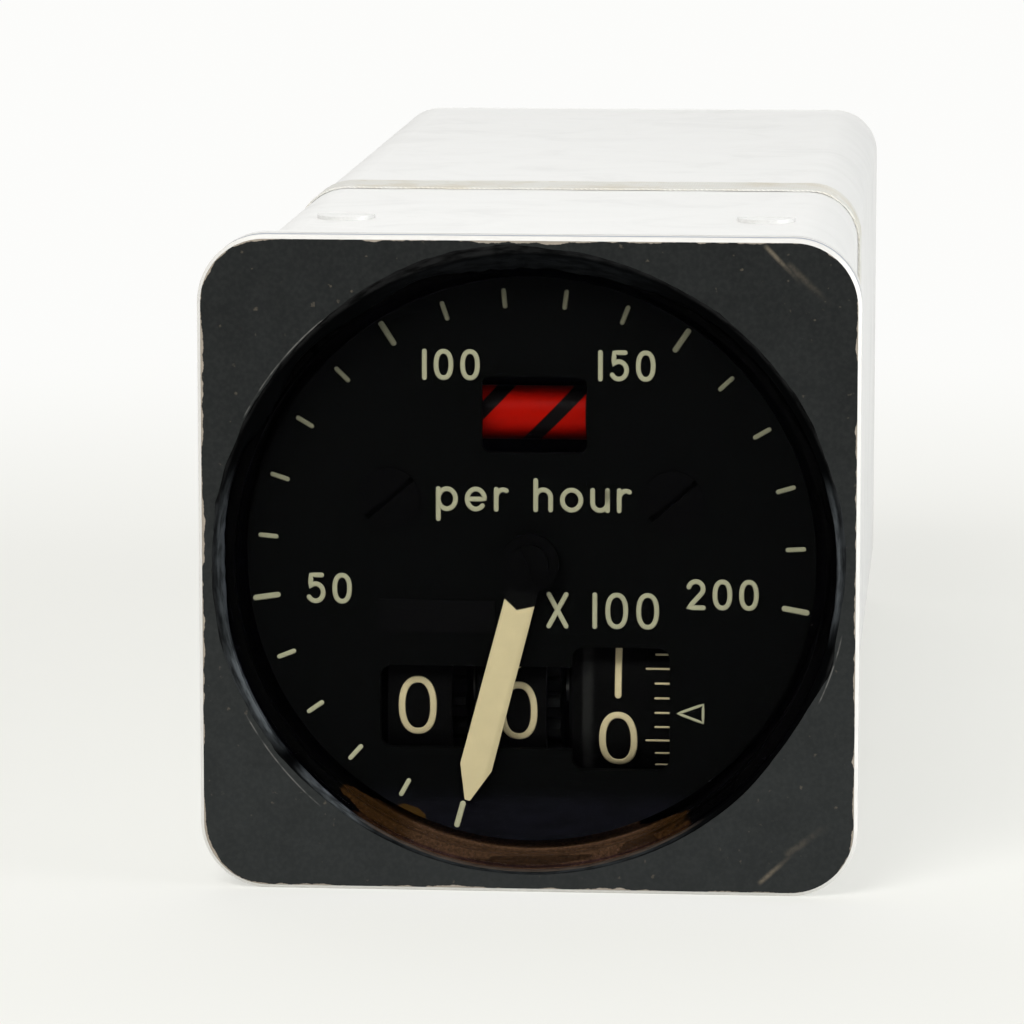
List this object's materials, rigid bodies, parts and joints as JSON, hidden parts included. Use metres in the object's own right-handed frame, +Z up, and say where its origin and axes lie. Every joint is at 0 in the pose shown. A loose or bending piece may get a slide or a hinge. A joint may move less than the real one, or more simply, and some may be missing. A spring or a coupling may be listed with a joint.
{
  "type": "fuel flow gauge",
  "caption": "Square sealed panel gauge: a pointer sweeps a round dial above a drum counter and below a striped warning flag, in a clamp mounted aluminium case with a rear connector.",
  "frame": {"origin": "on the instrument's axis, in the plane of the bezel flange's rear face, which seats on the panel", "axes": "+X to the right as the dial is read, +Y from the dial into the case, +Z up"},
  "size_m": [0.0606, 0.1826, 0.0606],
  "materials": {
    "bezel_paint": "dark slate paint, chipped along the edges to bare metal",
    "gasket_rubber": "matt",
    "steel": "turned",
    "glass": "flat and clear",
    "sealant": "glossy, hand laid",
    "ring_paint": "matt black, browned at the bottom",
    "case_metal": "satin, slightly smudged",
    "band": "aged tape",
    "plate_metal": "satin",
    "connector_metal": "passivated",
    "connector_insulator": "moulded",
    "gold": "gold plated",
    "dial_paint": "matt black with cream marks",
    "black_screw": "black, satin",
    "plate_black": "black, satin",
    "frame_metal": "machined",
    "brass": "cut",
    "motor_metal": "ground",
    "motor_paint": "satin",
    "coil_wire": "varnished winding",
    "card": "glass fibre",
    "can_metal": "plated",
    "transformer": "varnished iron",
    "wire": "woven",
    "pointer_paint": "cream paint, black at the hub",
    "drum": "matt black with cream figures",
    "pinion_plastic": "moulded",
    "flag_paint": "red with black stripes"
  },
  "bodies": {
    "root": {"bezel": "bezel_paint", "bezel_gasket": "gasket_rubber", "bezel_screws": "steel", "cover_glass": "glass", "glass_sealant": "sealant", "spacer_ring": "ring_paint", "case_front": "case_metal", "joint_band": "band", "case_rear": "case_metal", "rear_plate": "plate_metal", "rear_screws": "steel", "chassis_screws": "steel", "connector_shell": "connector_metal", "connector_insert": "connector_insulator", "connector_pins": "gold", "dial_plate": "dial_paint", "dial_screws": "black_screw", "name_plate": "plate_black", "dial_posts": "steel", "front_frame": "frame_metal", "front_pillars": "frame_metal", "middle_frame": "frame_metal", "gear_pillars": "frame_metal", "rear_frame": "frame_metal", "frame_screws": "steel", "shaft_bushes": "brass", "servo_motor_body": "motor_metal", "position_sensor_body": "motor_metal", "motor_cleats": "steel", "counter_frame": "frame_metal", "counter_bushes": "brass", "transfer_shaft": "steel", "counter_motor_body": "motor_paint", "flag_brackets": "frame_metal", "flag_coil": "coil_wire", "tie_rods": "steel", "card_spacers": "frame_metal", "amplifier_card": "card", "power_card": "card", "card_parts": "can_metal", "power_transformer": "transformer", "wiring_loom": "wire"},
    "counter": {"units_drum": "drum", "counter_shaft": "steel", "counter_gear": "brass"},
    "tens": {"tens_drum": "drum"},
    "hundreds": {"hundreds_drum": "drum"},
    "tens_pinion": {"tens_pinion": "pinion_plastic"},
    "hundreds_pinion": {"hundreds_pinion": "pinion_plastic"},
    "idler": {"counter_idler": "brass"},
    "counter_motor": {"counter_motor_gear": "brass"},
    "pointer": {"pointer": "pointer_paint", "pointer_hub": "black_screw", "pointer_screw": "black_screw", "pointer_shaft": "steel", "pointer_gear": "brass"},
    "arbor": {"intermediate_arbor": "steel", "intermediate_wheel": "brass"},
    "servo": {"servo_pinion": "steel"},
    "flag": {"flag_drum": "flag_paint"}
  },
  "joints": [
    {"name": "pointer_turn", "type": "hinge", "parent": "root", "child": "pointer", "pos_m": [0, 0, 0], "axis": [0, 1, 0], "range_deg": [-2, 268]},
    {"name": "arbor_turn", "type": "hinge", "parent": "root", "child": "arbor", "pos_m": [-0.00617, 0, 0.01476], "axis": [0, 1, 0], "range_deg": [-1080, 16]},
    {"name": "servo_turn", "type": "hinge", "parent": "root", "child": "servo", "pos_m": [-0.0176, 0, 0.009], "axis": [0, 1, 0], "range_deg": [-36, 3230]},
    {"name": "units_turn", "type": "hinge", "parent": "root", "child": "counter", "pos_m": [0, 0.0117, -0.0138], "axis": [1, 0, 0], "continuous": true},
    {"name": "tens_turn", "type": "hinge", "parent": "root", "child": "tens", "pos_m": [0, 0.0117, -0.0138], "axis": [1, 0, 0], "continuous": true},
    {"name": "hundreds_turn", "type": "hinge", "parent": "root", "child": "hundreds", "pos_m": [0, 0.0117, -0.0138], "axis": [1, 0, 0], "continuous": true},
    {"name": "tens_pinion_turn", "type": "hinge", "parent": "root", "child": "tens_pinion", "pos_m": [0, 0.02168, -0.02079], "axis": [1, 0, 0], "continuous": true},
    {"name": "hundreds_pinion_turn", "type": "hinge", "parent": "root", "child": "hundreds_pinion", "pos_m": [0, 0.02168, -0.02079], "axis": [1, 0, 0], "continuous": true},
    {"name": "idler_turn", "type": "hinge", "parent": "root", "child": "idler", "pos_m": [0, 0.02392, -0.00935], "axis": [1, 0, 0], "continuous": true},
    {"name": "counter_motor_turn", "type": "hinge", "parent": "root", "child": "counter_motor", "pos_m": [0, 0.03459, -0.01201], "axis": [1, 0, 0], "continuous": true},
    {"name": "flag_turn", "type": "hinge", "parent": "root", "child": "flag", "pos_m": [0, 0.0034, 0.0133], "axis": [1, 0, 0], "range_deg": [0, 180]}
  ],
  "couplings": [
    {"joint": "arbor_turn", "follows": "pointer_turn", "ratio": -4},
    {"joint": "servo_turn", "follows": "pointer_turn", "ratio": 12},
    {"joint": "tens_turn", "follows": "units_turn", "ratio": 0.1},
    {"joint": "hundreds_turn", "follows": "units_turn", "ratio": 0.01},
    {"joint": "tens_pinion_turn", "follows": "units_turn", "ratio": -0.25},
    {"joint": "hundreds_pinion_turn", "follows": "units_turn", "ratio": -0.025},
    {"joint": "idler_turn", "follows": "units_turn", "ratio": -1.6},
    {"joint": "counter_motor_turn", "follows": "units_turn", "ratio": 1.3333}
  ]
}
